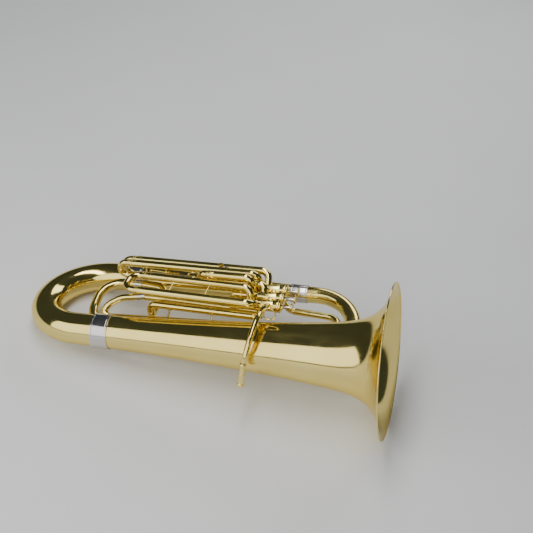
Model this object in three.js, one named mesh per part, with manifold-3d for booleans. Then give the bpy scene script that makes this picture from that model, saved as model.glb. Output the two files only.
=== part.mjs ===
// A three-valve, top-action 3/4-size tuba in millimetres, lying on its back with the bell to +X.
// Everything is modelled in the instrument's own frame: X along the bell from the bottom bow (0) to
// the rim (920), Y from the bell's axis towards the outer branch, Z towards the valves. The last
// group lays the instrument down and puts the origin at the middle of its base.
import * as THREE from "three";
import { mergeVertices } from "three/addons/utils/BufferGeometryUtils.js";
import Module from "manifold-3d";

const wasm = await Module();
wasm.setup();

const GAP = 0.3; // left between two soldered or screwed pieces
const SIDES = 8; // sides of a small tube
const LAY_ROLL = -6.4282; // degrees about X, then
const LAY_PITCH = -8.3936; // degrees about Y: how the instrument lies on its back

const BRASS = { color: 0xc9a75a, metalness: 1, roughness: 0.22 };
const NICKEL = { color: 0xc8c6bd, metalness: 1, roughness: 0.2 };
const STEEL = { color: 0xb9bcc0, metalness: 1, roughness: 0.35 };

const instrument = new THREE.Group();

// ---------------------------------------------------------------- solids

// three.js geometry as a closed solid that boolean operations can use.
function solid(geometry) {
  const bare = geometry.clone();
  bare.deleteAttribute("normal");
  bare.deleteAttribute("uv");
  const g = mergeVertices(bare, 1e-4);
  const kept = [];
  const index = g.index.array;
  for (let i = 0; i < index.length; i += 3) {
    const [a, b, c] = [index[i], index[i + 1], index[i + 2]];
    if (a !== b && b !== c && c !== a) kept.push(a, b, c);
  }
  const made = (triVerts) =>
    new wasm.Manifold(
      new wasm.Mesh({
        numProp: 3,
        vertProperties: new Float32Array(g.attributes.position.array),
        triVerts: new Uint32Array(triVerts),
      }),
    );
  const first = made(kept);
  if (first.volume() > 0) return first;
  for (let i = 0; i < kept.length; i += 3) [kept[i], kept[i + 1]] = [kept[i + 1], kept[i]];
  return made(kept);
}

const joined = (solids) => solids.reduce((a, b) => a.add(b));

// The largest body of a solid, without the slivers that a cut can leave.
const largest = (s) => s.decompose().reduce((a, b) => (b.volume() > a.volume() ? b : a));

// One named mesh of the instrument, from a solid.
function node(name, shape, look = BRASS) {
  const m = shape.getMesh();
  const g = new THREE.BufferGeometry();
  g.setAttribute("position", new THREE.BufferAttribute(new Float32Array(m.vertProperties), 3));
  g.setIndex(new THREE.BufferAttribute(new Uint32Array(m.triVerts), 1));
  g.computeVertexNormals();
  const mesh = new THREE.Mesh(g, new THREE.MeshStandardMaterial(look));
  mesh.name = name;
  instrument.add(mesh);
}

const v3 = (a) => new THREE.Vector3(...a);

// ---------------------------------------------------------------- tubes

// A polyline with its corners rounded by arcs: a list of { p, t } with the point and the tangent.
function rounded(corners, radii, degreesPerStep = 30) {
  const pts = corners.map(v3);
  const line = [];
  const put = (p, t) => line.push({ p: p.clone(), t: t.clone().normalize() });
  put(pts[0], pts[1].clone().sub(pts[0]));
  for (let i = 1; i < pts.length - 1; i++) {
    const into = pts[i].clone().sub(pts[i - 1]).normalize();
    const out = pts[i + 1].clone().sub(pts[i]).normalize();
    const turn = into.angleTo(out);
    const radius = Array.isArray(radii) ? radii[i - 1] : radii;
    const reach = radius * Math.tan(turn / 2);
    const axis = into.clone().cross(out).normalize();
    const centre = pts[i]
      .clone()
      .addScaledVector(into, -reach)
      .add(axis.clone().cross(into).multiplyScalar(radius));
    const steps = Math.max(1, Math.round(THREE.MathUtils.radToDeg(turn) / degreesPerStep));
    for (let k = 0; k <= steps; k++) {
      const spin = new THREE.Quaternion().setFromAxisAngle(axis, (turn * k) / steps);
      const arm = axis.clone().cross(into).multiplyScalar(-radius).applyQuaternion(spin);
      put(centre.clone().add(arm), into.clone().applyQuaternion(spin));
    }
  }
  const n = pts.length;
  put(pts[n - 1], pts[n - 1].clone().sub(pts[n - 2]));
  return line.filter((s, i) => i === 0 || s.p.distanceTo(line[i - 1].p) > 1e-3);
}

// A smooth curve through points, sampled evenly.
function flowing(points, samples) {
  const curve = new THREE.CatmullRomCurve3(points.map(v3), false, "centripetal");
  return Array.from({ length: samples + 1 }, (_, i) => ({
    p: curve.getPointAt(i / samples),
    t: curve.getTangentAt(i / samples),
  }));
}

// A straight turned piece bent along a line. Its outline is closed and made of [station, radius],
// where a station is an index into the line; up sets where the first corner of a section points.
function bent(line, outline, sides, up) {
  const frames = [];
  line.forEach(({ p, t }, i) => {
    const before = frames[i - 1];
    const e1 = before
      ? before.e1.clone().applyQuaternion(new THREE.Quaternion().setFromUnitVectors(before.t, t))
      : v3(up);
    e1.addScaledVector(t, -e1.dot(t)).normalize();
    frames.push({ p, t, e1, e2: t.clone().cross(e1) });
  });
  const closed = [...outline, outline[0]].map(([station, r]) => new THREE.Vector2(r, station));
  const g = new THREE.LatheGeometry(closed, sides);
  const at = g.attributes.position;
  const q = new THREE.Vector3();
  for (let i = 0; i < at.count; i++) {
    const { p, e1, e2 } = frames[Math.round(at.getY(i))];
    q.copy(p).addScaledVector(e1, at.getZ(i)).addScaledVector(e2, at.getX(i));
    at.setXYZ(i, q.x, q.y, q.z);
  }
  return solid(g);
}

// A hollow tube along a line. radius is its outer radius, or a function of the fraction of the
// length.
function tube(line, radius, wall, { sides = SIDES, up = [0, 0, 1] } = {}) {
  const along = [0];
  for (let i = 1; i < line.length; i++) {
    along.push(along[i - 1] + line[i].p.distanceTo(line[i - 1].p));
  }
  const total = along[along.length - 1];
  const outer = along.map((s) => (typeof radius === "function" ? radius(s / total) : radius));
  const outside = outer.map((r, i) => [i, r]);
  const inside = outer.map((r, i) => [i, r - wall]).reverse();
  return bent(line, [...outside, ...inside], sides, up);
}

const taper = (from, to) => (f) => from + (to - from) * f;

// A turned piece about the X axis through (0, y, z); profile is a closed outline of [x, radius].
function turned(profile, [y, z], sides = 14) {
  const outline = [...profile, profile[0]].map(([x, r]) => new THREE.Vector2(r, x));
  const g = new THREE.LatheGeometry(outline, sides);
  g.rotateZ(-Math.PI / 2);
  g.translate(0, y, z);
  return solid(g);
}

// A turned piece about the line from one point to another; its profile starts at x = 0 there.
function turnedAlong(from, to, profile, sides = 16) {
  const outline = [...profile, profile[0]].map(([x, r]) => new THREE.Vector2(r, x));
  const g = new THREE.LatheGeometry(outline, sides);
  const way = v3(to).sub(v3(from)).normalize();
  g.applyQuaternion(new THREE.Quaternion().setFromUnitVectors(v3([0, 1, 0]), way));
  g.translate(...from);
  return solid(g);
}

const rod = (from, to, r, sides = 8) => {
  const length = v3(to).distanceTo(v3(from));
  return turnedAlong(from, to, [[0, 0], [0, r], [length, r], [length, 0]], sides);
};

const block = (centre, size) => {
  const g = new THREE.BoxGeometry(...size);
  g.translate(...centre);
  return solid(g);
};

const ring = (centre, normal, major, minor, around = 20, section = 8) => {
  const g = new THREE.TorusGeometry(major, minor, section, around);
  g.applyQuaternion(new THREE.Quaternion().setFromUnitVectors(v3([0, 0, 1]), v3(normal).normalize()));
  g.translate(...centre);
  return solid(g);
};

// A sleeve over a joint between two large tubes, with a bead at each end.
function ferrule(name, x0, x1, r0, r1, [y, z], sides = 24) {
  const w = 1.2;
  const outline = [
    [x0, r0], [x0, r0 + w + 0.8], [x0 + 4, r0 + w + 0.8], [x0 + 5, r0 + w],
    [x1 - 5, r1 + w], [x1 - 4, r1 + w + 0.8], [x1, r1 + w + 0.8], [x1, r1],
  ];
  node(name, turned(outline, [y, z], sides), NICKEL);
}

// ---------------------------------------------------------------- bell, bows and branches

const BELL = [
  [223.3, 39.8], [300, 42.2], [380, 45.6], [461, 50.2], [546, 55.6], [631, 61.8], [702, 68.4],
  [760, 75], [800, 80], [830, 86], [855, 94.5], [874, 105.5], [889, 119], [901, 135],
  [910, 152.5], [915.5, 168.5],
];
const BELL_WALL = 0.9;
const RIM_X = 920;
const RIM_R = 185;
const RIM = [
  [917, 180], [915.6, 183.4], [917, RIM_R], [RIM_X - 1, RIM_R], [RIM_X, RIM_R - 1.2],
  [RIM_X, RIM_R - 3.4], [918.4, RIM_R - 7],
];
const FLARE_X = 895; // beyond it the bell opens so fast that its wall is measured along X

// The inner wall's point for one of the outer wall's.
const inner = ([x, r]) => (x > FLARE_X ? [x + BELL_WALL, r - BELL_WALL / 2] : [x, r - BELL_WALL]);

// One length of the bell, between two of its stations; only the last one has the rolled rim.
function bellLength(name, first, last, rim = []) {
  const outside = BELL.slice(first, last + 1);
  if (!rim.length) outside.push([outside.pop()[0] - GAP, BELL[last][1]]);
  node(name, turned([...outside, ...rim, ...outside.map(inner).reverse()], [0, 0], 28));
}

bellLength("bell_stem", 0, 3);
bellLength("bell_middle", 3, 6);
bellLength("bell_throat", 6, 10);
bellLength("bell_flare", 10, BELL.length - 1, RIM);

const FAR = 252; // the outer branch's distance from the bell's axis
const FOOT = 38; // the bottom bow's lowest centre line
const JOIN = 223; // where the bottom bow meets the bell and the outer branch
const TOP_JOIN = 653; // where the outer branch meets the top bow

ferrule("bell_ferrule", 202, 244, 40.9, 40.9, [0, 0]);
node(
  "bottom_bow",
  tube(
    rounded([[JOIN - GAP, 0, 0], [FOOT, 0, 0], [FOOT, FAR, 0], [JOIN, FAR, 0]], [112, 138], 18),
    taper(39.5, 34.6),
    1.1,
    { sides: 18 },
  ),
);
ferrule("branch_ferrule", 202, 244, 35.4, 35.1, [FAR, 0], 20);
node(
  "outer_branch",
  tube(rounded([[JOIN + GAP, FAR, 0], [TOP_JOIN, FAR, 0]], 0), taper(34.5, 21), 1, { sides: 18 }),
);
ferrule("top_ferrule", 633, 675, 22.3, 21.5, [FAR, 0], 18);

const CROWN = 806; // the top bow's highest centre line
const INNER = [99, -32]; // y and z of the top bow's inner end
const INNER_JOIN = 690;
node(
  "top_bow",
  tube(
    rounded(
      [[TOP_JOIN + GAP, FAR, 0], [CROWN, FAR, 0], [CROWN, ...INNER], [INNER_JOIN + GAP, ...INNER]],
      [108, 44],
      20,
    ),
    taper(20.9, 18.6),
    1,
    { sides: 16 },
  ),
);
ferrule("inner_ferrule", 684, 716, 19.5, 19.5, INNER, 16);

// The inner branch runs down beside the bell and turns round inside the bottom bow.
node(
  "inner_branch",
  tube(
    rounded([[INNER_JOIN - 1.6, ...INNER], [236, 60, -30]], 0),
    taper(18.5, 12.2),
    0.9,
    { sides: 14 },
  ),
);
node(
  "inner_bow",
  tube(
    rounded(
      [[236 - GAP, 60 - 0.03, -30], [154, 52, -30], [154, 202, 15], [252, 204, 13]],
      [66, 62],
      18,
    ),
    taper(12.1, 10.6),
    0.9,
    { sides: 14 },
  ),
);

// ---------------------------------------------------------------- small-bore branches

const SMALL = 8.6; // outer radius of a plain tube
const BORE_WALL = 0.7;

// From the main tuning slide over the small top bow, back beside the bell, round the small
// bottom bow and up under the first slide.
node(
  "small_top_bow",
  tube(
    rounded(
      [[599, 207, 39.6], [646, 166, 3], [772, 156, 0], [772, 91, 2], [640, 91, 0]],
      [40, 31, 31],
      22.5,
    ),
    SMALL,
    BORE_WALL,
  ),
);
node(
  "small_branch",
  tube(
    rounded(
      [
        [639, 91, 0], [180, 92, -20], [194, 111, 4], [228, 122, 21], [285, 124, 30],
      ],
      [15, 36, 60],
      30,
    ),
    SMALL,
    BORE_WALL,
  ),
);
node(
  "cross_branch",
  tube(
    rounded(
      [
        [287, 124, 30], [594, 107, 30], [594, 71, 38], [319, 79, 40],
        [319, 79, 5.5], [319, 204, 7], [253, 204, 13],
      ],
      [15, 15, 16, 16, 24],
      30,
    ),
    SMALL + 0.4,
    BORE_WALL,
  ),
);

// ---------------------------------------------------------------- valves

const VALVES = [
  { name: "valve_1", y: 91.5 },
  { name: "valve_2", y: 127.5 },
  { name: "valve_3", y: 163.5 },
];
const VALVE_Z = 60;
const CASING_R = 14.5;

// A helical spring about X between x0 and x1.
function coil(x0, x1, [y, z], major, wire, turns, perTurn = 8) {
  const count = turns * perTurn;
  const pitch = (x1 - x0 - 2 * wire) / count;
  const line = Array.from({ length: count + 1 }, (_, i) => {
    const a = (2 * Math.PI * i) / perTurn;
    return {
      p: new THREE.Vector3(x0 + wire + pitch * i, y + major * Math.cos(a), z + major * Math.sin(a)),
      t: new THREE.Vector3(pitch, -major * Math.sin(a), major * Math.cos(a)).normalize(),
    };
  });
  const outline = [[0, 0], ...line.map((_, i) => [i, wire]), [count, 0]];
  return bent(line, outline, 4, [0, 1, 0]);
}

for (const { name, y } of VALVES) {
  const axis = [y, VALVE_Z];
  node(`${name}_casing`, turned([[533, 13.3], [533, CASING_R], [636, CASING_R], [636, 13.3]], axis));
  node(
    `${name}_bottom_cap`,
    turned(
      [
        [513, 0], [513, 6.5], [515, 8], [519.5, 8], [520, 14.9], [521, 15.7], [540, 15.7],
        [540, 14.85], [524.3, 14.85], [524.3, 0],
      ],
      axis,
    ),
    NICKEL,
  );
  node(
    `${name}_top_cap`,
    turned(
      [
        [625, 14.85], [625, 15.7], [643, 15.7], [645, 14.6], [646, 7.5], [649.4, 7],
        [649.4, 3], [641, 3], [641, 14.85],
      ],
      axis,
    ),
    NICKEL,
  );
  node(
    `${name}_piston`,
    turned([[549, 11.9], [549, 13], [640.6, 13], [640.6, 0], [637, 0], [637, 11.9]], axis),
    STEEL,
  );
  node(`${name}_spring`, coil(524.6, 548.7, axis, 12.2, 0.6, 5), STEEL);
  node(`${name}_stem`, turned([[640.9, 0], [640.9, 2.4], [667, 2.4], [667, 0]], axis, 10), STEEL);
  node(
    `${name}_button`,
    turned(
      [[667.3, 0], [667.3, 9.5], [668.3, 11], [671.6, 11], [672.6, 10], [672.2, 8.5], [672.6, 0]],
      axis,
    ),
    NICKEL,
  );
}

// A tube that ends inside a casing is cut back by this room, a little wider than the casing.
const ROOM_R = CASING_R + 1.5 * GAP;
const casingRoom = (y) =>
  turned([[500, 0], [500, ROOM_R], [660, ROOM_R], [660, 0]], [y, VALVE_Z], 24);
const [Y1, Y2, Y3] = VALVES.map((v) => v.y);

// A short tube between two neighbouring casings.
function knuckle(name, from, to) {
  const whole = tube(rounded([[612, from, VALVE_Z], [612, to, VALVE_Z]], 0), SMALL, BORE_WALL);
  node(name, whole.subtract(casingRoom(from)).subtract(casingRoom(to)));
}

knuckle("knuckle_1_2", Y1, Y2);
knuckle("knuckle_2_3", Y2, Y3);

// ---------------------------------------------------------------- slides

const SLEEVE = 9.4; // outer radius of a slide's sleeve
const SLEEVE_WALL = 0.8;
const INSIDE = 8.2; // outer radius of the tube that slides in it

// A U-shaped slide: legs at [y, z] of a and b, drawn parallel to way, with its bow at -X. The legs'
// y and z are those at x = tangent, where the bow starts.
function slideBow({ tangent, legs: [a, b], way, depth, bend }) {
  const point = ([y, z], x) => [tangent + x * way[0], y + x * way[1], z + x * way[2]];
  const corner = (leg) => point(leg, -bend);
  return tube(
    rounded([point(a, depth), corner(a), corner(b), point(b, depth)], bend, 22.5),
    INSIDE,
    BORE_WALL,
    { up: planeNormal(a, b, way) },
  );
}

function planeNormal([ya, za], [yb, zb], way) {
  return v3([0, yb - ya, zb - za]).cross(v3(way)).normalize().toArray();
}

// One sleeve: a straight leg from near the bow to its elbow, then into the casing at y = casing.
function sleeve({ tangent, leg: [y, z], way, up }, { start, corner, into, bend, casing }) {
  const at = (x) => [tangent + x * way[0], y + x * way[1], z + x * way[2]];
  const path = [at(start), at(corner), ...into];
  const made = tube(rounded(path, bend, 30), SLEEVE, SLEEVE_WALL, { up });
  return largest(made.subtract(casingRoom(casing)));
}

const ALONG = [1, 0, 0];
const FIRST_WAY = v3([1, -0.038, 0]).normalize().toArray();

// A brace between two parallel sleeves: a thin rod with a round foot at each end.
function brace(from, to, r = 2.1, foot = 4.6) {
  const way = v3(to).sub(v3(from)).normalize();
  const a = v3(from).addScaledVector(way, 1.2).toArray();
  const b = v3(to).addScaledVector(way, -1.2).toArray();
  return joined([rod(from, to, r), rod(from, a, foot), rod(b, to, foot)]);
}

// Between two points on sleeves' axes, the brace runs from wall to wall.
function tie(p, q, rp = SLEEVE, rq = SLEEVE, r = 2.1, foot = 4.6) {
  const way = v3(q).sub(v3(p)).normalize();
  const from = v3(p).addScaledVector(way, rp - 0.5).toArray();
  const to = v3(q).addScaledVector(way, -(rq - 0.5)).toArray();
  return brace(from, to, r, foot);
}

// First valve's slide: a wide flat U in front of the others.
{
  const tangent = 292;
  const legs = [[117.5, 95], [50, 95]];
  const way = FIRST_WAY;
  const up = planeNormal(...legs, way);
  node("first_slide", slideBow({ tangent, legs, way, depth: 130, bend: 27 }));
  const at = ([y, z], x) => [tangent + x * way[0], y + x * way[1], z + x * way[2]];
  node(
    "first_slide_sleeves",
    joined([
      sleeve(
        { tangent, leg: legs[0], way, up },
        { start: 12, corner: 275, into: [[567, Y1, VALVE_Z]], bend: 18, casing: Y1 },
      ),
      sleeve(
        { tangent, leg: legs[1], way, up },
        { start: 12, corner: 296, into: [[588, Y1, VALVE_Z]], bend: 20, casing: Y1 },
      ),
      tie(at(legs[0], 85), at(legs[1], 85)),
      tie(at(legs[0], 175), at(legs[1], 175)),
    ]),
  );
}

// Second valve's slide: short, with a finger ring.
{
  const tangent = 451;
  const legs = [[127, 110], [146.6, 82.5]];
  const up = planeNormal(...legs, ALONG);
  node(
    "second_slide",
    joined([
      slideBow({ tangent, legs, way: ALONG, depth: 70, bend: 17 }),
      ring([414, 138.5, 96.5], [0, 0, 1], 11.8, 1.9, 16, 6),
    ]),
  );
  node(
    "second_slide_sleeves",
    joined([
      sleeve(
        { tangent, leg: legs[0], way: ALONG, up },
        { start: 8, corner: 115, into: [[566, Y2, VALVE_Z]], bend: 18, casing: Y2 },
      ),
      sleeve(
        { tangent, leg: legs[1], way: ALONG, up },
        { start: 8, corner: 141, into: [[592, Y2, VALVE_Z]], bend: 12, casing: Y2 },
      ),
      tie([520, ...legs[0]], [520, ...legs[1]], SLEEVE, SLEEVE, 2, 3.5),
    ]),
  );
}

// Third valve's slide, with the water key on its lower sleeve.
const KEY_X = 340;
{
  const tangent = 236;
  const legs = [[163, 100], [168, 61]];
  const up = planeNormal(...legs, ALONG);
  node("third_slide", slideBow({ tangent, legs, way: ALONG, depth: 200, bend: 19 }));
  node(
    "third_slide_sleeves",
    joined([
      sleeve(
        { tangent, leg: legs[0], way: ALONG, up },
        { start: 12, corner: 337, into: [[573, 169, VALVE_Z]], bend: 20, casing: Y3 },
      ),
      sleeve(
        { tangent, leg: legs[1], way: ALONG, up },
        {
          start: 12,
          corner: 219,
          into: [[500, 192, VALVE_Z], [577, 192, VALVE_Z], [577, 160, VALVE_Z]],
          bend: [22, 22, 16],
          casing: Y3,
        },
      ),
      tie([285, ...legs[0]], [285, ...legs[1]], SLEEVE, SLEEVE, 2, 4),
      tie([420, ...legs[0]], [420, ...legs[1]], SLEEVE, SLEEVE, 2, 4),
      block([KEY_X, 168, 70.6], [9, 11.2, 1.6]),
      block([KEY_X, 163.2, 74.8], [6, 1.6, 9.4]),
      block([KEY_X, 172.8, 74.8], [6, 1.6, 9.4]),
      rod([KEY_X, 163, 77], [KEY_X, 173, 77], 0.9, 8),
      rod([365, 168, 69.8], [365, 168, 73.5], 3, 8),
    ]),
  );
  node(
    "water_key",
    joined([
      rod([KEY_X, 164.6, 77], [KEY_X, 171.4, 77], 2.6, 8),
      block([353, 168, 78], [26, 4, 1.8]),
      rod([365, 168, 74], [365, 168, 78.5], 4, 8),
      turnedAlong([339, 168, 78], [296, 168, 81.5], [[0, 0], [0, 1.6], [43, 2.4], [43, 0]], 8),
      turnedAlong([297, 168, 80.4], [297, 168, 83], [[0, 0], [0, 5], [2, 5], [2, 0]], 10),
    ]).subtract(rod([KEY_X, 160, 77], [KEY_X, 176, 77], 1.3, 8)),
  );
}

// Main tuning slide: the long outer U, in an upright plane.
{
  const tangent = 240;
  const legs = [[195, 92], [207, 40]];
  const up = planeNormal(...legs, ALONG);
  node("tuning_slide", slideBow({ tangent, legs, way: ALONG, depth: 190, bend: 26 }));
  node(
    "tuning_slide_sleeves",
    joined([
      sleeve(
        { tangent, leg: legs[0], way: ALONG, up },
        { start: 14, corner: 352, into: [[594, Y3, VALVE_Z]], bend: 20, casing: Y3 },
      ),
      tube(rounded([[254, ...legs[1]], [594 - GAP, ...legs[1]]], 0), SLEEVE, SLEEVE_WALL, { up }),
      tie([322, ...legs[0]], [322, ...legs[1]]),
      tie([438, ...legs[0]], [438, ...legs[1]]),
    ]),
  );
}

node(
  "lyre_socket",
  turnedAlong(
    [474, 179.6, 84],
    [474, 179.6, 110],
    [[0, 4.4], [0, 5.4], [23, 5.4], [23.6, 6], [26, 6], [26, 4.4]],
    12,
  ),
);

// ---------------------------------------------------------------- leadpipe

// It leaves the first valve, arches over the bell and comes down on the player's side.
const AROUND = 88;
const arch = (degrees, x) => {
  const a = THREE.MathUtils.degToRad(degrees);
  return [x, AROUND * Math.cos(a), AROUND * Math.sin(a)];
};
const SEAM = arch(171, 595);
const MOUTH = [588.5, -97, -43];
const LEADPIPE = flowing(
  [
    [614.5, 84, 64], [614.5, 62, 74], [614, 42, 81], arch(75, 613.5), arch(95, 612),
    arch(119, 609.5), arch(144, 604), arch(158, 600), SEAM,
  ],
  14,
);
node("leadpipe", tube(LEADPIPE, taper(8.2, 6.4), 0.8).subtract(casingRoom(Y1)));

const receiverFrom = v3(SEAM).lerp(v3(MOUTH), 0.02).toArray();
node(
  "mouthpiece_receiver",
  turnedAlong(
    receiverFrom,
    MOUTH,
    [
      [0, 5.4], [0, 7.2], [3, 8], [6, 8], [8, 7], [50, 7.6], [52, 8.8], [57.5, 8.8], [58, 8.4],
      [58, 6.1],
    ],
    16,
  ),
  NICKEL,
);
// The ring's own wire stops at the leadpipe, which closes it.
const leadpipeRoom = tube(LEADPIPE, taper(8.2 + GAP, 6.4 + GAP), 8);
const wholeRing = ring([634, 16, 86], [0, 1, 0], 15, 1.8, 20, 6);
node("thumb_ring", largest(wholeRing.subtract(leadpipeRoom)));
node("leadpipe_brace", brace([612, -3, 62], [612, -4.6, 79.6], 2.2, 5));
node("bell_brace_1", brace([373, 43.2, 21.6], [373, 67.6, 35.4], 2.2, 5));
node("bell_brace_2", brace([480, 48.4, 26.4], [480, 65.6, 34.2], 2.2, 5));

// ---------------------------------------------------------------- lying on its back

const part = new THREE.Group();
const laid = new THREE.Group();
laid.rotation.set(
  THREE.MathUtils.degToRad(LAY_ROLL),
  THREE.MathUtils.degToRad(LAY_PITCH),
  0,
  "YXZ",
);
laid.add(instrument);
part.add(laid);
part.updateMatrixWorld(true);
const box = new THREE.Box3().setFromObject(part, true);
laid.position.set(-(box.min.x + box.max.x) / 2, -(box.min.y + box.max.y) / 2, -box.min.z);
part.updateMatrixWorld(true);

export default part;
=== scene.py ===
"""Looks of the tuba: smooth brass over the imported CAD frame, a pale floor and soft studio light.

Pieces are drawn in millimetres in the instrument's own frame, as the CAD part is: X along the bell
from the bottom bow (0) to the rim (920), Y from the bell's axis to the outer branch, Z towards the
valves. place() then lays them down in the row frame, in metres.
"""

import math

import bpy
from mathutils import Matrix, Quaternion, Vector


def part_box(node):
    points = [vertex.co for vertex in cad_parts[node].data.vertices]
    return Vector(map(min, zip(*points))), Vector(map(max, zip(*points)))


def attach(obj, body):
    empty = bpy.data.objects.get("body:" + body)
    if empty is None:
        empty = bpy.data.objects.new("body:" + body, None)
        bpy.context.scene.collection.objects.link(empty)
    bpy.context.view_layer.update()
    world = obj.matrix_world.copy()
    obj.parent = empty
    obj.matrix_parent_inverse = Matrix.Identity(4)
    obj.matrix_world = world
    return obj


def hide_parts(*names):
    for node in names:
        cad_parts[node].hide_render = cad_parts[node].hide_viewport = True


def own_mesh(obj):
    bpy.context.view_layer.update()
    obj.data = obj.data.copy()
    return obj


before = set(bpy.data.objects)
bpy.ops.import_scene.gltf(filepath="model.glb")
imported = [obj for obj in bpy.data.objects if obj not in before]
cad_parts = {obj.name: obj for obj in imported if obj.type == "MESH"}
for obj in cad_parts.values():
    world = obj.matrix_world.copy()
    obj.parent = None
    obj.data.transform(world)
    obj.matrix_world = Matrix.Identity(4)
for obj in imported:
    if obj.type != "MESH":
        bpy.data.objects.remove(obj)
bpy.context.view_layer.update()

# ------------------------------------------------------------------ the instrument's frame

LAY_ROLL = math.radians(-6.4282)
LAY_PITCH = math.radians(-8.3936)
LAY = Matrix.Rotation(LAY_PITCH, 4, "Y") @ Matrix.Rotation(LAY_ROLL, 4, "X")
STEM_MIDDLE = Vector((653.95, 127.5, 60.0))  # of valve 2's stem, which fixes the origin


def frame_matrix():
    """Millimetres in the instrument's frame to metres in the row frame."""
    low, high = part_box("valve_2_stem")
    turn = LAY @ Matrix.Scale(0.001, 4)
    return Matrix.Translation((low + high) / 2 - turn @ STEM_MIDDLE) @ turn


PLACE = frame_matrix()

# ------------------------------------------------------------------ materials


def shader(name, color, roughness, metallic=1.0):
    """A Principled material, and its nodes to add detail to."""
    made = bpy.data.materials.new(name)
    made.use_nodes = True
    tree = made.node_tree
    bsdf = tree.nodes["Principled BSDF"]
    bsdf.inputs["Base Color"].default_value = (*color, 1)
    bsdf.inputs["Metallic"].default_value = metallic
    bsdf.inputs["Roughness"].default_value = roughness
    return made, tree, bsdf


def noise(tree, scale, detail=3.0, stretch=(1, 1, 1)):
    """Noise in the object's own metres; stretch below 1 lengthens it along that axis."""
    where = tree.nodes.new("ShaderNodeTexCoord")
    mapping = tree.nodes.new("ShaderNodeMapping")
    mapping.inputs["Scale"].default_value = stretch
    texture = tree.nodes.new("ShaderNodeTexNoise")
    texture.inputs["Scale"].default_value = scale
    texture.inputs["Detail"].default_value = detail
    tree.links.new(where.outputs["Object"], mapping.inputs["Vector"])
    tree.links.new(mapping.outputs["Vector"], texture.inputs["Vector"])
    return texture.outputs["Fac"]


def ramp(tree, fac, low, high, start=0.3, end=0.7):
    """Colours or greys between two values of a factor."""
    node = tree.nodes.new("ShaderNodeValToRGB")
    node.color_ramp.elements[0].position = start
    node.color_ramp.elements[1].position = end
    for element, value in zip(node.color_ramp.elements, (low, high)):
        element.color = (*value, 1) if isinstance(value, tuple) else (value, value, value, 1)
    tree.links.new(fac, node.inputs["Fac"])
    return node.outputs["Color"]


def bump(tree, bsdf, height, strength, distance):
    """Fine relief from a factor."""
    node = tree.nodes.new("ShaderNodeBump")
    node.inputs["Strength"].default_value = strength
    node.inputs["Distance"].default_value = distance
    tree.links.new(height, node.inputs["Height"])
    tree.links.new(node.outputs["Normal"], bsdf.inputs["Normal"])


def polished(name, color, deep, roughness=(0.05, 0.13), wave=0.05, coat=0.08, metallic=1.0):
    """Buffed metal under clear lacquer: soft colour drift, handling marks, and a faint wave."""
    made, tree, bsdf = shader(name, color, roughness[0], metallic)
    tree.links.new(ramp(tree, noise(tree, 7, 4), deep, color), bsdf.inputs["Base Color"])
    marks = ramp(tree, noise(tree, 38, 6, (0.35, 1, 1)), *roughness, 0.35, 0.75)
    tree.links.new(marks, bsdf.inputs["Roughness"])
    bump(tree, bsdf, noise(tree, 24, 2, (0.5, 1, 1)), wave, 0.0006)
    bsdf.inputs["Specular Tint"].default_value = (*(0.5 + 0.5 * c for c in color), 1)
    bsdf.inputs["Coat Weight"].default_value = coat
    bsdf.inputs["Coat Roughness"].default_value = 0.03
    bsdf.inputs["Coat IOR"].default_value = 1.5
    return made


def pearl(name):
    """Cloudy white shell under a clear coat."""
    made, tree, bsdf = shader(name, (0.8, 0.77, 0.72), 0.18, 0.0)
    cloud = ramp(tree, noise(tree, 260, 5), (0.62, 0.6, 0.58), (0.93, 0.9, 0.84))
    tree.links.new(cloud, bsdf.inputs["Base Color"])
    bsdf.inputs["Coat Weight"].default_value = 0.8
    bsdf.inputs["Sheen Weight"].default_value = 0.2
    return made


def dull(name, color, roughness, metallic, grain):
    """Felt, cork and drawn wire."""
    made, tree, bsdf = shader(name, color, roughness, metallic)
    darker = tuple(c * 0.6 for c in color)
    tree.links.new(ramp(tree, noise(tree, grain, 4), darker, color), bsdf.inputs["Base Color"])
    bump(tree, bsdf, noise(tree, grain, 4), 0.3, 0.0004)
    return made


BRASS = polished("lacquered_brass", (0.87, 0.72, 0.25), (0.81, 0.64, 0.19), (0.09, 0.18))
# the bell's inside: a rougher finish, with darker colour and less metal as painted shade in the bore
SHADED_BORE = polished("bell_bore_shaded_brass", (0.80, 0.62, 0.26), (0.70, 0.52, 0.2), (0.3, 0.45), metallic=0.7)
SLIDE = polished("slide_brass", (0.87, 0.71, 0.25), (0.80, 0.61, 0.19), (0.06, 0.15))
NICKEL = polished("nickel_silver", (0.70, 0.66, 0.64), (0.60, 0.57, 0.55), (0.12, 0.24))
BUTTON = polished("button_metal", (0.87, 0.72, 0.31), (0.78, 0.62, 0.24), (0.08, 0.2))
PISTON = polished("lapped_nickel", (0.66, 0.65, 0.62), (0.55, 0.54, 0.52), (0.18, 0.3), coat=0)
WIRE = dull("spring_wire", (0.5, 0.5, 0.5), 0.35, 1.0, 300)
CORK = dull("cork", (0.45, 0.28, 0.14), 0.85, 0.0, 500)
FELT = dull("felt", (0.65, 0.62, 0.55), 0.95, 0.0, 900)
PEARL = pearl("pearl")

# ------------------------------------------------------------------ meshes

ROUND = 48  # sides of a small tube
SHARP = math.radians(38)  # edges that turn more than this stay sharp


class Shape:
    """Vertices and faces in the instrument's frame, to which more shapes can be added."""

    def __init__(self, vertices=(), faces=()):
        self.vertices = list(vertices)
        self.faces = list(faces)

    def __add__(self, other):
        shift = len(self.vertices)
        moved = [tuple(i + shift for i in f) for f in other.faces]
        return Shape(self.vertices + other.vertices, self.faces + moved)


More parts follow.
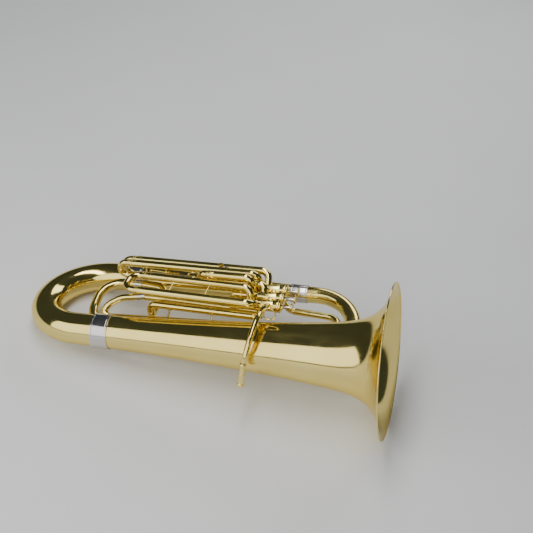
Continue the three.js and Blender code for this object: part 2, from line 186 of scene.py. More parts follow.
def place(name, shape, body, material, slot, *nodes):
    """Makes the shape a smooth piece on a body, in place of its CAD nodes. slot is not used."""
    mesh = bpy.data.meshes.new(name)
    mesh.from_pydata([PLACE @ v for v in shape.vertices], [], shape.faces)
    mesh.validate()
    mesh.update()
    mesh.shade_smooth()
    mesh.set_sharp_from_angle(angle=SHARP)
    mesh.materials.append(material)
    piece = bpy.data.objects.new(name, mesh)
    bpy.context.scene.collection.objects.link(piece)
    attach(piece, body)
    if nodes:
        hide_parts(*nodes)
    return piece


def softened(outline, radius=0.35, steps=3):
    """A closed [x, r] outline with its corners rounded; corners on the axis stay sharp."""
    points = [Vector(p) for p in outline]
    soft = []
    for i, here in enumerate(points):
        before, after = points[i - 1], points[(i + 1) % len(points)]
        a, b = before - here, after - here
        turn = math.pi - a.angle(b, math.pi)
        if here.y < 1e-6 or turn < math.radians(12):
            soft.append(here)
            continue
        reach = min(radius * math.tan(turn / 2), 0.45 * a.length, 0.45 * b.length)
        start, end = here + a.normalized() * reach, here + b.normalized() * reach
        for k in range(steps + 1):
            t = k / steps
            soft.append(start * (1 - t) ** 2 + here * 2 * t * (1 - t) + end * t * t)
    return soft


def turned_faces(rings, sides, closed):
    """Quads between rings of vertices, joined round into a closed outline."""
    faces = []
    pairs = range(rings) if closed else range(rings - 1)
    for i in pairs:
        k = (i + 1) % rings
        for j in range(sides):
            m = (j + 1) % sides
            faces.append((i * sides + j, k * sides + j, k * sides + m, i * sides + m))
    return faces


def turned(outline, start, way, sides=64, radius=0.35, flutes=None):
    """A closed [x, r] outline turned about a line. flutes(x, angle) adds to the radius."""
    way = Vector(way).normalized()
    turn = Vector((1, 0, 0)).rotation_difference(way)
    soft = softened(outline, radius) if radius else [Vector(p) for p in outline]
    vertices = []
    for x, r in soft:
        for j in range(sides):
            a = 2 * math.pi * j / sides
            rr = r + (flutes(x, a) if flutes and r > 1e-6 else 0)
            vertices.append(Vector(start) + turn @ Vector((x, rr * math.cos(a), rr * math.sin(a))))
    return Shape(vertices, turned_faces(len(soft), sides, True))


def rod(start, end, r, sides=24):
    """A plain round bar between two points."""
    way = Vector(end) - Vector(start)
    outline = [(0, 0), (0, r), (way.length, r), (way.length, 0)]
    return turned(outline, start, way, sides, 0.25)


def rounded(corners, radii, step=4.0):
    """A polyline with its corners rounded by arcs: a list of (point, tangent)."""
    points = [Vector(c) for c in corners]
    if not isinstance(radii, (list, tuple)):
        radii = [radii] * (len(points) - 2)
    line = [(points[0], (points[1] - points[0]).normalized())]
    for i, radius in enumerate(radii, 1):
        into = (points[i] - points[i - 1]).normalized()
        out = (points[i + 1] - points[i]).normalized()
        turn = into.angle(out)
        axis = into.cross(out).normalized()
        side = axis.cross(into)
        centre = points[i] - into * radius * math.tan(turn / 2) + side * radius
        steps = max(2, round(math.degrees(turn) / step))
        for k in range(steps + 1):
            spin = Quaternion(axis, turn * k / steps)
            line.append((centre + spin @ (side * -radius), spin @ into))
    line.append((points[-1], (points[-1] - points[-2]).normalized()))
    kept = [line[0]]
    for p, t in line[1:]:
        if (p - kept[-1][0]).length > 1e-3:
            kept.append((p, t))
    return kept


def flowing(corners, samples=90):
    """A smooth curve through points (centripetal Catmull-Rom), sampled by its knots."""
    points = [Vector(c) for c in corners]
    points = [points[0] * 2 - points[1], *points, points[-1] * 2 - points[-2]]
    line = []
    spans = len(points) - 3
    per = max(2, samples // spans)
    for i in range(spans):
        p0, p1, p2, p3 = points[i : i + 4]
        knots = [0.0]
        for a, b in ((p0, p1), (p1, p2), (p2, p3)):
            knots.append(knots[-1] + math.sqrt((b - a).length))
        for k in range(per + (i == spans - 1)):
            line.append(catmull(p0, p1, p2, p3, knots, k / per))
    last = len(line) - 1
    tangents = [(line[min(i + 1, last)] - line[max(i - 1, 0)]).normalized() for i in range(last + 1)]
    return list(zip(line, tangents))


def catmull(p0, p1, p2, p3, knots, f):
    """The curve's point at a fraction of the way from p1 to p2."""
    t0, t1, t2, t3 = knots
    t = t1 + (t2 - t1) * f
    a1 = p0.lerp(p1, (t - t0) / (t1 - t0))
    a2 = p1.lerp(p2, (t - t1) / (t2 - t1))
    a3 = p2.lerp(p3, (t - t2) / (t3 - t2))
    b1 = a1.lerp(a2, (t - t0) / (t2 - t0))
    b2 = a2.lerp(a3, (t - t1) / (t3 - t1))
    return b1.lerp(b2, (t - t1) / (t2 - t1))


def sections(line, up=(0, 0, 1)):
    """The line's points with two axes across each, carried along without twisting."""
    frames = []
    for i, (p, t) in enumerate(line):
        if i:
            e1 = line[i - 1][1].rotation_difference(t) @ frames[-1][1]
        else:
            e1 = Vector(up)
        e1 = (e1 - t * e1.dot(t)).normalized()
        frames.append((p, e1, t.cross(e1)))
    return frames


def tube(line, radius, wall, sides=ROUND, up=(0, 0, 1), saddle=None):
    """A hollow tube along a line. radius is a number or a function of the fraction of the length.
    saddle is the (y, z) of a casing whose wall the far end is fitted to."""
    along = [0.0]
    for (a, _), (b, _) in zip(line, line[1:]):
        along.append(along[-1] + (b - a).length)
    frames = sections(line, up)
    vertices = []
    last = len(line) - 1
    for inside in (False, True):
        order = range(last, -1, -1) if inside else range(last + 1)
        for i in order:
            p, e1, e2 = frames[i]
            r = radius(along[i] / along[-1]) if callable(radius) else radius
            r -= wall if inside else 0
            for j in range(sides):
                a = 2 * math.pi * j / sides
                q = p + e1 * (r * math.cos(a)) + e2 * (r * math.sin(a))
                if saddle and i == last:
                    q = onto_casing(q, line[i][1], saddle)
                vertices.append(q)
    faces = turned_faces(2 * len(line), sides, True)
    return Shape(vertices, [tuple(reversed(f)) for f in faces])


CASING_OUT = 14.1
CASING_IN = 13.3
SADDLE_R = 14.0  # inside the casing's wall


def onto_casing(q, t, saddle):
    """q moved along t until it is in the casing's wall."""
    y, z = q.y - saddle[0], q.z - saddle[1]
    a = t.y * t.y + t.z * t.z
    b = 2 * (y * t.y + z * t.z)
    c = y * y + z * z - SADDLE_R ** 2
    return q + t * ((-b - math.sqrt(max(b * b - 4 * a * c, 0))) / (2 * a))


def taper(start, end):
    """A radius that changes evenly along a tube."""
    return lambda f: start + (end - start) * f


def torus(centre, normal, major, minor, around=72, section=20):
    """A round ring."""
    turn = Vector((0, 0, 1)).rotation_difference(Vector(normal).normalized())
    vertices = []
    for i in range(section):
        b = -2 * math.pi * i / section
        r, h = major + minor * math.cos(b), minor * math.sin(b)
        for j in range(around):
            a = 2 * math.pi * j / around
            vertices.append(Vector(centre) + turn @ Vector((r * math.cos(a), r * math.sin(a), h)))
    return Shape(vertices, turned_faces(section, around, True))


def slab(centre, size, edge=0.5):
    """A block with chamfered edges."""
    c, h = Vector(centre), Vector(size) / 2
    e = min(edge, *(0.4 * s for s in size))
    vertices, index = [], {}
    for sx in (-1, 1):
        for sy in (-1, 1):
            for sz in (-1, 1):
                for k in range(3):
                    v = Vector((sx * h.x, sy * h.y, sz * h.z))
                    for m in range(3):
                        if m != k:
                            v[m] -= math.copysign(e, v[m])
                    index[sx, sy, sz, k] = len(vertices)
                    vertices.append(c + v)
    faces = []
    for k in range(3):
        m, n = (k + 1) % 3, (k + 2) % 3
        for s in (-1, 1):
            around = []
            for a, b in ((-1, -1), (1, -1), (1, 1), (-1, 1)):
                sign = [0, 0, 0]
                sign[k], sign[m], sign[n] = s, a, b
                around.append(index[(*sign, k)])
            faces.append(tuple(around if s > 0 else reversed(around)))
        for a in (-1, 1):
            for b in (-1, 1):
                ends = []
                for s in (-1, 1):
                    sign = [0, 0, 0]
                    sign[k], sign[m], sign[n] = s, a, b
                    ends.append((index[(*sign, m)], index[(*sign, n)]))
                quad = (ends[0][0], ends[1][0], ends[1][1], ends[0][1])
                faces.append(tuple(quad if a * b > 0 else reversed(quad)))
    for sx in (-1, 1):
        for sy in (-1, 1):
            for sz in (-1, 1):
                corner = tuple(index[sx, sy, sz, k] for k in range(3))
                faces.append(corner if sx * sy * sz > 0 else tuple(reversed(corner)))
    return Shape(vertices, faces)


# ------------------------------------------------------------------ camera

CAMERA_AT = (1233.0, -2249.3, 1583.4)
CAMERA_YAW, CAMERA_PITCH, CAMERA_ROLL = (math.radians(a) for a in (14.841, 30.31, -2.452))
SENSOR_WIDTH = 36
FOCAL_LENGTH = 81.05


def put_camera():
    """The main view, in the instrument's frame: yaw and pitch of the view, then roll."""
    yaw, pitch, roll = CAMERA_YAW, CAMERA_PITCH, CAMERA_ROLL
    ahead = Vector((-math.sin(yaw) * math.cos(pitch), math.cos(yaw) * math.cos(pitch), -math.sin(pitch)))
    level = Vector((math.cos(yaw), math.sin(yaw), 0))
    upright = level.cross(ahead)
    right = level * math.cos(roll) + upright * math.sin(roll)
    up = upright * math.cos(roll) - level * math.sin(roll)
    axes = LAY.to_3x3() @ Matrix((right, up, -ahead)).transposed()
    data = bpy.data.cameras.new("camera")
    data.lens = FOCAL_LENGTH
    data.sensor_width = SENSOR_WIDTH
    camera = bpy.data.objects.new("camera", data)
    camera.matrix_world = Matrix.Translation(PLACE @ Vector(CAMERA_AT)) @ axes.to_4x4()
    bpy.context.scene.collection.objects.link(camera)
    bpy.context.scene.camera = camera


put_camera()

# ------------------------------------------------------------------ bell, bows and branches

BELL = [
    (223.3, 39.8), (300, 42.2), (380, 45.6), (461, 50.2), (546, 55.6), (631, 61.8), (702, 68.4),
    (760, 75), (800, 80), (830, 86), (855, 94.5), (874, 105.5), (889, 119), (901, 135),
    (910, 152.5), (915.5, 168.5), (916.6, 178),
]
BELL_WALL = 0.9
BELL_SIDES = 192
BORE_END = 800  # below it the bell's inside is rougher, and darker as painted shade in the bore
RIM_X = 920
RIM_WIRE = 1.75
RIM_R = 183.8  # the CAD rim has flats, and the smooth one stays inside them
BODY = "tuba_body"


def smooth_profile(corners, per=8):
    """The profile's outline resampled along a smooth curve, with the outward normals."""
    line = flowing([(x, r, 0) for x, r in corners], per * (len(corners) - 1))
    return [(Vector((p.x, p.y)), Vector((-t.y, t.x))) for p, t in line]


def rolled_rim():
    """The bell's edge, turned outwards over a wire, as [x, r] from the outside to the inside."""
    centre = Vector((RIM_X - RIM_WIRE, RIM_R - RIM_WIRE))
    angles = [math.radians(a) for a in range(200, -80, -14)]
    return [centre + Vector((math.cos(a), math.sin(a))) * RIM_WIRE for a in angles]


def make_bell():
    """The bell as one wall, its inside below BORE_END rougher and darkened as painted shade."""
    curve = smooth_profile(BELL)
    outside = [p for p, _ in curve]
    inside = [p - n * BELL_WALL for p, n in reversed(curve)]
    outline = [*outside, *rolled_rim(), *inside]
    shape = turned(outline, (0, 0, 0), (1, 0, 0), BELL_SIDES, 0)
    lengths = [f"bell_{part}" for part in ("stem", "middle", "throat", "flare")]
    bell = place("bell_wall", shape, BODY, BRASS, "lacquered_brass", *lengths)
    bell.data.materials.append(SHADED_BORE)
    last = len(outline) - 1
    deep = last - sum(1 for p in inside if p.x < BORE_END)
    # faces inside the bell below BORE_END take the rougher bore brass, darkened as painted shade
    for face in bell.data.polygons:
        face.material_index = int(deep < face.index // BELL_SIDES < last)


make_bell()

FAR = 252  # from the bell's axis to the outer branch's
FOOT = 38  # the bottom bow's axis
JOIN = 223  # where the bottom bow starts and ends
TOP_JOIN = 653  # from the outer branch to the top bow
CROWN = 806  # the top bow's axis
INNER = (99, -32)  # the inner branch's top end
INNER_JOIN = 690


def ferrule(name, x0, x1, r0, r1, y, z):
    """A sleeve over a joint, with a bead at each end and a fine line beside each bead."""
    thick, bead, groove = 1.2, 0.5, 0.2
    low = [(x0, r0), (x0, r0 + thick + bead), (x0 + 3.6, r0 + thick + bead)]
    low += [(x0 + 4.2, r0 + thick - groove), (x0 + 4.8, r0 + thick)]
    high = [(x1 - 4.8, r1 + thick), (x1 - 4.2, r1 + thick - groove), (x1 - 3.6, r1 + thick + bead)]
    high += [(x1, r1 + thick + bead), (x1, r1)]
    shape = turned(low + high, (0, y, z), (1, 0, 0), 128, 0.4)
    place(name + "_smooth", shape, BODY, NICKEL, "nickel_silver", name)


def branch(name, line, radius, wall, sides=96):
    """A length of the body's tubing in place of its CAD node."""
    place(name + "_smooth", tube(line, radius, wall, sides), BODY, BRASS, "lacquered_brass", name)


def rod_line(a, b, count=2):
    """A straight line of points."""
    a, b = Vector(a), Vector(b)
    return [(a.lerp(b, i / count), (b - a).normalized()) for i in range(count + 1)]


ferrule("bell_ferrule", 202, 244, 40.9, 40.9, 0, 0)
branch(
    "bottom_bow",
    rounded([(JOIN, 0, 0), (FOOT, 0, 0), (FOOT, FAR, 0), (JOIN, FAR, 0)], [112, 138], 3),
    taper(38.9, 34.2), 1.1, 128,
)
ferrule("branch_ferrule", 202, 244, 35.4, 35.1, FAR, 0)
branch("outer_branch", rod_line((JOIN, FAR, 0), (TOP_JOIN, FAR, 0), 8), taper(34.4, 20.9), 1, 128)
ferrule("top_ferrule", 633, 675, 22.3, 21.5, FAR, 0)
branch(
    "top_bow",
    rounded([(TOP_JOIN, FAR, 0), (CROWN, FAR, 0), (CROWN, *INNER), (INNER_JOIN, *INNER)], [108, 44], 3),
    taper(20.8, 18.5), 1,
)
ferrule("inner_ferrule", 684, 716, 19.5, 19.5, *INNER)
branch("inner_branch", rod_line((INNER_JOIN, *INNER), (236, 60, -30), 6), taper(18.4, 12.1), 0.9)
branch(
    "inner_bow",
    rounded([(236, 60, -30), (154, 52, -30), (154, 202, 15), (252, 204, 13)], [66, 62], 4),
    taper(12.0, 10.5), 0.9,
)

SMALL, BORE_WALL = 8.55, 0.7
branch(
    "small_top_bow",
    rounded(
        [(599, 207, 39.6), (646, 166, 3), (772, 156, 0), (772, 91, 2), (640, 91, 0)], [40, 31, 31],
    ),
    SMALL, BORE_WALL, ROUND,
)
branch(
    "small_branch",
    rounded(
        [(640, 91, 0), (180, 92, -20), (194, 111, 4), (228, 122, 21), (285, 124, 30)], [15, 36, 60],
    ),
    SMALL, BORE_WALL, ROUND,
)
branch(
    "cross_branch",
    rounded(
        [
            (286, 124, 30), (594, 107, 30), (594, 71, 38), (319, 79, 40),
            (319, 79, 5.5), (319, 204, 7), (253, 204, 13),
        ],
        [15, 15, 16, 16, 24],
    ),
    SMALL + 0.4, BORE_WALL, ROUND,
)


def collar(name, start, way, length, r):
    """A short ferrule over a small tube: a sleeve with a bead at each end."""
    inside, bead, sleeve = r - 0.1, r + 0.9, r + 0.9 * 0.45
    outline = [
        (0, inside), (0, bead), (1.6, bead), (2, sleeve),
        (length - 2, sleeve), (length - 1.6, bead), (length, bead), (length, inside),
    ]
    place(name, turned(outline, start, way, ROUND, 0.25), BODY, NICKEL, "nickel_silver")


collar("inner_bow_collar", (224, 58.8, -30), (12, 1.2, 0), 24, 12.2)
collar("inner_bow_end_collar", (236, 203.6, 13.3), (1, 0.02, -0.02), 20, 10.5)
collar("small_branch_collar", (272, 123.4, 27.8), (13, 0.6, 2.2), 20, SMALL)
collar("small_top_bow_collar", (630, 91, 0), (1, 0, 0), 20, SMALL)

# ------------------------------------------------------------------ valves

VALVES = (("valve_1", 91.5), ("valve_2", 127.5), ("valve_3", 163.5))
VALVE_Z = 60
ALONG = Vector((1, 0, 0))
SPRING_FOOT = 524.7


def knurl(count, depth, x0, x1):
    """A ribbed grip between two stations of a turned piece."""
    return lambda x, a: -depth * (0.5 + 0.5 * math.cos(count * a)) if x0 < x < x1 else 0


def coil(x0, x1, major, wire, turns, start, per_turn=32, sides=12):
    """A helical spring about X."""
    count = turns * per_turn
    speed = major * 2 * math.pi / per_turn
    line = []
    for i in range(count + 1):
        a = 2 * math.pi * i / per_turn
        x = x0 + wire + (x1 - x0 - 2 * wire) * i / count
        p = Vector((x, major * math.cos(a), major * math.sin(a))) + start
        t = Vector(((x1 - x0) / count, -speed * math.sin(a), speed * math.cos(a)))
        line.append((p, t.normalized()))
    return tube(line, wire, wire * 0.98, sides, (0, 1, 0))


def make_valve(name, y):
    """A casing with its knurled caps, and what moves in it."""
    at = Vector((0, y, VALVE_Z))
    wall = [(533, CASING_IN), (533, CASING_OUT), (636, CASING_OUT), (636, CASING_IN)]
    casing = turned(wall, at, ALONG, 96, 0.2)
    place(f"{name}_casing_smooth", casing, BODY, BRASS, "lacquered_brass", f"{name}_casing")
    bottom = [
        (513, 0), (513, 2.2), (514.2, 3), (514.2, 6), (516.5, 8), (519.5, 8.6), (520, 14.6), (521.4, 15.6),
        (524, 15.6), (524.4, 15.2), (531, 15.2), (531.4, 15.6), (540, 15.6), (540, 14.6),
        (524.3, 14.6), (524.3, 0),
    ]
    shape = turned(bottom, at, ALONG, 144, 0.3, knurl(48, 0.45, 524.6, 530.8))
    place(f"{name}_bottom_cap_smooth", shape, BODY, BRASS, "cap_brass", f"{name}_bottom_cap")
    top = [
        (625, 14.2), (625, 14.7), (630, 14.7), (630.4, 15.0), (638.6, 15.0), (639, 14.6), (639.8, 14.6),
        (640.2, 15.65), (643.4, 15.65), (644.6, 14.4), (645.4, 8.8), (646.2, 7.4), (649.2, 6.9),
        (649.2, 3), (639.5, 3), (639.5, 14.2),
    ]
    shape = turned(top, at, ALONG, 144, 0.35, knurl(48, 0.4, 630.6, 638.4))
    place(f"{name}_top_cap_smooth", shape, BODY, BRASS, "cap_brass", f"{name}_top_cap")
    make_stack(name, f"{name}_stack", at)


def make_stack(name, stack, at):
    """The piston, its spring and stem, the button with its pearl, and the felt on the top cap."""
    piston = [
        (549, 11.9), (549, 13), (566, 13), (566.4, 12.7), (567.4, 12.7), (567.8, 13),
        (640.6, 13), (640.6, 0), (637, 0), (637, 11.9),
    ]
    shape = turned(piston, at, ALONG, 96, 0.2)
    place(f"{name}_piston_smooth", shape, stack, PISTON, "piston_nickel", f"{name}_piston")
    coiled = coil(SPRING_FOOT, 548.7, 12.2, 0.55, 5, at)
    spring = place(f"{name}_spring_wire", coiled, BODY, WIRE, "spring_steel", f"{name}_spring")
    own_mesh(spring)
    stem = [(640.9, 0), (640.9, 2.4), (667, 2.4), (667, 0)]
    shape = turned(stem, at, ALONG, 48, 0.2)
    place(f"{name}_stem_smooth", shape, stack, NICKEL, "nickel_silver", f"{name}_stem")
    button = [
        (667.3, 0), (667.3, 3.4), (668, 6.4), (669, 10.4), (669.6, 10.9), (671.4, 10.9), (672.5, 10),
        (672.4, 8.6), (671.7, 8.3), (671.7, 0),
    ]
    shape = turned(button, at, ALONG, 96, 0.3)
    place(f"{name}_button_smooth", shape, stack, BUTTON, "button_nickel", f"{name}_button")
    inlay = [(671.75, 0), (671.75, 8.1), (672.2, 7.6), (672.5, 0)]
    place(f"{name}_button_pearl", turned(inlay, at, ALONG, 64, 0.2), stack, PEARL, None)
    felt = [(649.3, 2.6), (649.3, 6.4), (650.4, 6.2), (650.4, 2.6)]
    place(f"{name}_felt", turned(felt, at, ALONG, 48, 0.3), BODY, FELT, None)


for valve_name, valve_y in VALVES:
    make_valve(valve_name, valve_y)

Y1, Y2, Y3 = (y for _, y in VALVES)


def knuckle(name, y0, y1):
    """The short tube between two casings, fitted to both walls."""
    middle = (y0 + y1) / 2
    halves = []
    for y in (y0, y1):
        line = rod_line((612, middle, VALVE_Z), (612, y, VALVE_Z))
        halves.append(tube(line, SMALL, BORE_WALL, ROUND, (0, 0, 1), (y, VALVE_Z)))
    place(name + "_smooth", halves[0] + halves[1], BODY, BRASS, "lacquered_brass", name)


knuckle("knuckle_1_2", Y1, Y2)
knuckle("knuckle_2_3", Y2, Y3)

# ------------------------------------------------------------------ slides

SLEEVE, SLEEVE_WALL = 9.35, 0.8
INSIDE = 8.15  # the moving tube, which runs in the sleeve


class Slide:
    """Two legs at (y, z) where the bow starts, at x = tangent, drawn parallel to way."""

    def __init__(self, name, tangent, legs, way=(1, 0, 0)):
        self.name = name
        self.tangent = tangent
        self.legs = legs
        self.way = Vector(way).normalized()
        across = Vector((0, legs[1][0] - legs[0][0], legs[1][1] - legs[0][1]))
        self.up = across.cross(self.way).normalized()

    def at(self, leg, x):
        """A point on a leg's axis, x along it from where the bow starts."""
        y, z = self.legs[leg]
        return Vector((self.tangent, y, z)) + self.way * x

    def bow(self, depth, bend):
        """The moving U, with legs that reach depth into the sleeves."""
        ends = [self.at(0, depth), self.at(0, -bend), self.at(1, -bend), self.at(1, depth)]
        return tube(rounded(ends, bend, 5), INSIDE, BORE_WALL, ROUND, self.up)

    def collars(self, start=1.2, length=8.5):
        """The bow's own ferrules, where the bow meets its two sliding tubes."""
        outline = [
            (start, INSIDE - 0.1), (start, 9.1), (start + 1.4, 9.3), (start + 2, 8.7),
            (length - 2, 8.7), (length - 1.4, 9.3), (length, 9.1), (length, INSIDE - 0.1),
        ]
        shapes = [turned(outline, self.at(leg, 0), self.way, ROUND, 0.3) for leg in (0, 1)]
        return shapes[0] + shapes[1]

    def rim(self, leg, start):
        """The bead round the mouth of a sleeve, from its end."""
        outline = [(0, 8.3), (0, 9.9), (0.6, 10.2), (3.4, 10.2), (4, 9.5), (12, 9.45), (12, 8.9), (1, 8.6)]
        return turned(outline, self.at(leg, start), self.way, ROUND, 0.3)

    def sleeve(self, leg, start, corner, into, bend, casing):
        """The fixed tube, from its mouth by its corners into a casing."""
        path = [self.at(leg, start), self.at(leg, corner), *(Vector(p) for p in into)]
        line = rounded(path, bend, 5)
        return tube(line, SLEEVE, SLEEVE_WALL, ROUND, self.up, (casing, VALVE_Z))


def brace(start, end, r, foot):
    """A turned rod with a round flange at each end and a bead in its middle."""
    way = Vector(end) - Vector(start)
    length = way.length
    m = length / 2
    bead = min(0.9, 0.12 * length)
    outline = [
        (0, 0), (0, foot), (0.8, foot), (1.3, r + 0.7), (2.2, r - 0.3), (m - 2 * bead, r - 0.3),
        (m - bead, r), (m - 0.4 * bead, r + 0.25), (m + 0.4 * bead, r + 0.25), (m + bead, r),
        (m + 2 * bead, r - 0.3), (length - 2.2, r - 0.3), (length - 1.3, r + 0.7),
        (length - 0.8, foot), (length, foot), (length, 0),
    ]
    return turned(outline, start, way, 40, 0.25)


def tie(p, q, r=2.1, foot=4.6):
    """A brace between two sleeves, given points on their axes."""
    sunk = SLEEVE - 0.9
    way = (Vector(q) - Vector(p)).normalized()
    return brace(Vector(p) + way * sunk, Vector(q) - way * sunk, r, foot)


def put_slide(slide, bow, sleeves, rims, *fittings):
    """A slide's moving bow with its ferrules, and its fixed sleeves with their beads and braces."""
    moving = f"{slide.name}_tube"
    place(f"{slide.name}_bow", bow, moving, SLIDE, "slide_brass", slide.name)
    place(f"{slide.name}_collars", slide.collars(), moving, SLIDE, "slide_brass")
    place(f"{slide.name}_sleeve_tubes", sleeves, BODY, BRASS, "lacquered_brass", f"{slide.name}_sleeves")
    place(f"{slide.name}_sleeve_rims", rims, BODY, BRASS, "lacquered_brass")
    for i, fitting in enumerate(fittings, 1):
        place(f"{slide.name}_brace_{i}", fitting, BODY, BRASS, "lacquered_brass")


first = Slide("first_slide", 292, ((117.5, 95), (50, 95)), (1, -0.038, 0))
put_slide(
    first,
    first.bow(130, 27),
    first.sleeve(0, 12, 275, [(567, Y1, VALVE_Z)], 18, Y1)
    + first.sleeve(1, 12, 296, [(588, Y1, VALVE_Z)], 20, Y1),
    first.rim(0, 11.8) + first.rim(1, 11.8),
    tie(first.at(0, 85), first.at(1, 85)),
    tie(first.at(0, 175), first.at(1, 175)),
)

second = Slide("second_slide", 451, ((127, 110), (146.6, 82.5)))
put_slide(
    second,
    second.bow(70, 17),
    second.sleeve(0, 8, 115, [(566, Y2, VALVE_Z)], 18, Y2)
    + second.sleeve(1, 8, 141, [(592, Y2, VALVE_Z)], 12, Y2),
    second.rim(0, 7.9) + second.rim(1, 7.9),
    tie((520, 127, 110), (520, 146.6, 82.5), 2, 3.5),
)
finger_ring = torus((414, 138.5, 96.5), (0, 0, 1), 11.8, 1.85)
place("second_slide_finger_ring", finger_ring, "second_slide_tube", SLIDE, "slide_brass")

third = Slide("third_slide", 236, ((163, 100), (168, 61)))
put_slide(
    third,
    third.bow(200, 19),
    third.sleeve(0, 12, 337, [(573, 169, VALVE_Z)], 20, Y3)
    + third.sleeve(1, 12, 219, [(500, 192, 60), (577, 192, 60), (577, 160, 60)], [22, 22, 16], Y3),
    third.rim(0, 11.8) + third.rim(1, 11.8),
    tie(third.at(0, 49), third.at(1, 49), 2, 4),
    tie(third.at(0, 184), third.at(1, 184), 2, 4),
)

tuning = Slide("tuning_slide", 240, ((195, 92), (207, 40)))
straight = tube(rod_line((254, 207, 40), (593.7, 207, 40)), SLEEVE, SLEEVE_WALL, ROUND, tuning.up)
put_slide(
    tuning,
    tuning.bow(190, 26),
    tuning.sleeve(0, 14, 352, [(594, Y3, VALVE_Z)], 20, Y3) + straight,
    tuning.rim(0, 13.8) + tuning.rim(1, 13.8),
    tie(tuning.at(0, 82), tuning.at(1, 82)),
    tie(tuning.at(0, 198), tuning.at(1, 198)),
)

# ------------------------------------------------------------------ water key and lyre socket

KEY_X = 340  # the hinge


def make_water_key():
    """The lever with its cork, and on the body its saddle and nipple."""
    saddle = slab((KEY_X, 168, 70.7), (9, 11.2, 1.4)) + slab((KEY_X, 163.2, 74.8), (6, 1.6, 9.2))
    saddle += slab((KEY_X, 172.8, 74.8), (6, 1.6, 9.2)) + rod((KEY_X, 163.4, 77), (KEY_X, 172.6, 77), 0.9)
    place("water_key_saddle", saddle, BODY, BRASS, "lacquered_brass")
    place("water_key_nipple", rod((365, 168, 69.8), (365, 168, 73.4), 3), BODY, BRASS, "lacquered_brass")
    barrel = turned([(0, 1.4), (0, 2.55), (6.8, 2.55), (6.8, 1.4)], (KEY_X, 164.6, 77), (0, 1, 0), 40)
    arm = turned([(0, 0), (0, 1.6), (43, 2.3), (43, 0)], (339, 168, 78), (-43, 0, 3.5), 32)
    lever = barrel + arm + slab((353, 168, 78), (26, 4, 1.7), 0.4)
    lever += rod((365, 168, 75.4), (365, 168, 78.5), 4, 40)
    lever += turned([(0, 0), (0, 4.9), (1.1, 4.9), (2, 4), (2, 0)], (297, 168, 80.4), (0, 0, 1), 40)
    place("water_key_smooth", lever, "water_key_lever", BRASS, "lacquered_brass", "water_key")
    cork = rod((365, 168, 74), (365, 168, 75.4), 3.6, 40)
    place("water_key_cork", cork, "water_key_lever", CORK, None)


make_water_key()

socket = [(0, 4.4), (0, 5.4), (23, 5.4), (23.6, 6), (26, 6), (26, 4.4)]
lyre = turned(socket, (474, 179.6, 84), (0, 0, 1), 48)
place("lyre_socket_smooth", lyre, BODY, BRASS, "lacquered_brass", "lyre_socket")
screw = rod((474, 179.6, 103), (484, 179.6, 103), 1.5) + slab((486.5, 179.6, 103), (5, 1.6, 6), 0.5)
place("lyre_screw", screw, BODY, NICKEL, "nickel_silver")

# ------------------------------------------------------------------ leadpipe

AROUND = 88  # from the bell's axis to the leadpipe's


def arch(degrees, x):
    """A point of the leadpipe's way over the bell."""
    a = math.radians(degrees)
    return Vector((x, AROUND * math.cos(a), AROUND * math.sin(a)))


SEAM = arch(171, 595)  # from the leadpipe to the receiver
MOUTH = Vector((588.5, -97, -43))  # the receiver's end


def make_leadpipe():
    """The leadpipe from the casing over the bell, and the receiver on its end."""
    stations = ((75, 613.5), (95, 612), (119, 609.5), (144, 604), (158, 600))
    points = [(614.5, 84, 64), (614.5, 62, 74), (614, 42, 81), *(arch(*s) for s in stations), SEAM]
    line = flowing(points, 96)
    line = [(p, -t) for p, t in reversed(line)]
    shape = tube(line, taper(6.4, 8.2), 0.8, ROUND, (1, 0, 0), (Y1, VALVE_Z))
    place("leadpipe_smooth", shape, BODY, BRASS, "lacquered_brass", "leadpipe")
    outline = [
        (0, 5.4), (0, 7.1), (3, 7.9), (6, 7.9), (8, 6.9), (26, 7.1), (26.6, 7.5), (28.4, 7.5), (29, 7.1),
        (50, 7.5), (52, 8.7), (57.4, 8.7), (58, 8.3), (58, 6.1),
    ]
    start = SEAM.lerp(MOUTH, 0.02)
    receiver = turned(outline, start, MOUTH - start, 72, 0.4)
    place("mouthpiece_receiver_smooth", receiver, BODY, BRASS, "slide_brass", "mouthpiece_receiver")


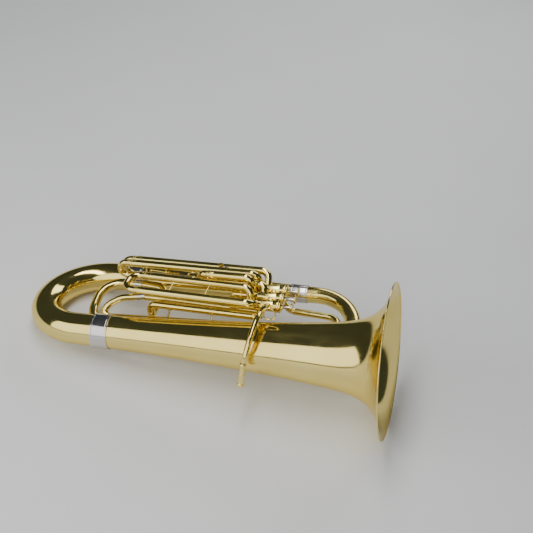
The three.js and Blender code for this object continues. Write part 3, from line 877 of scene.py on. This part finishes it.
make_leadpipe()
thumb_ring = torus((633.2, 16, 86), (0, 1, 0), 15.6, 1.75)
place("thumb_ring_smooth", thumb_ring, BODY, BRASS, "lacquered_brass", "thumb_ring")
for brace_name, brace_from, brace_to in (
    ("leadpipe_brace", (612, -3, 62), (612, -4.6, 79.6)),
    ("bell_brace_1", (373, 43.2, 21.6), (373, 67.6, 35.4)),
    ("bell_brace_2", (480, 48.4, 26.4), (480, 65.6, 34.2)),
):
    smooth = brace(brace_from, brace_to, 2.2, 5)
    place(brace_name + "_smooth", smooth, BODY, BRASS, "lacquered_brass", brace_name)

# ------------------------------------------------------------------ floor and light


FLOOR_HALF = 16  # metres


def matte(name, color):
    """Even paper with a slight drift."""
    made, tree, bsdf = shader(name, color, 0.9, 0.0)
    dark = tuple(c * 0.97 for c in color)
    tree.links.new(ramp(tree, noise(tree, 3, 2), dark, color), bsdf.inputs["Base Color"])
    return made


def make_floor():
    mesh = bpy.data.meshes.new("floor")
    corners = [(x * FLOOR_HALF, y * FLOOR_HALF, 0) for x, y in ((-1, -1), (1, -1), (1, 1), (-1, 1))]
    mesh.from_pydata(corners, [], [(0, 1, 2, 3)])
    mesh.materials.append(matte("pale_floor", (0.86, 0.86, 0.86)))
    floor = bpy.data.objects.new("floor", mesh)
    bpy.context.scene.collection.objects.link(floor)


def softbox(name, at, size, power, towards=(0, 0, 0.12)):
    """A soft rectangular light facing a point, in metres in the row frame."""
    data = bpy.data.lights.new(name, "AREA")
    data.shape = "RECTANGLE"
    data.size, data.size_y = size
    data.energy = power
    light = bpy.data.objects.new(name, data)
    light.location = at
    light.visible_camera = False
    light.rotation_euler = (Vector(towards) - Vector(at)).to_track_quat("-Z", "Y").to_euler()
    bpy.context.scene.collection.objects.link(light)


def make_light():
    world = bpy.data.worlds.new("studio")
    bpy.context.scene.world = world
    world.use_nodes = True
    background = world.node_tree.nodes["Background"]
    background.inputs["Color"].default_value = (0.8, 0.95, 1, 1)
    background.inputs["Strength"].default_value = 0.06
    softbox("front_softbox", (-0.9, -2.3, 1.5), (5.6, 2.9), 96)
    softbox("top_softbox", (-0.3, 0.0, 2.8), (3.0, 0.6), 44)
    softbox("back_softbox", (0.6, 2.6, 1.6), (2.2, 1.0), 22)


make_floor()
make_light()
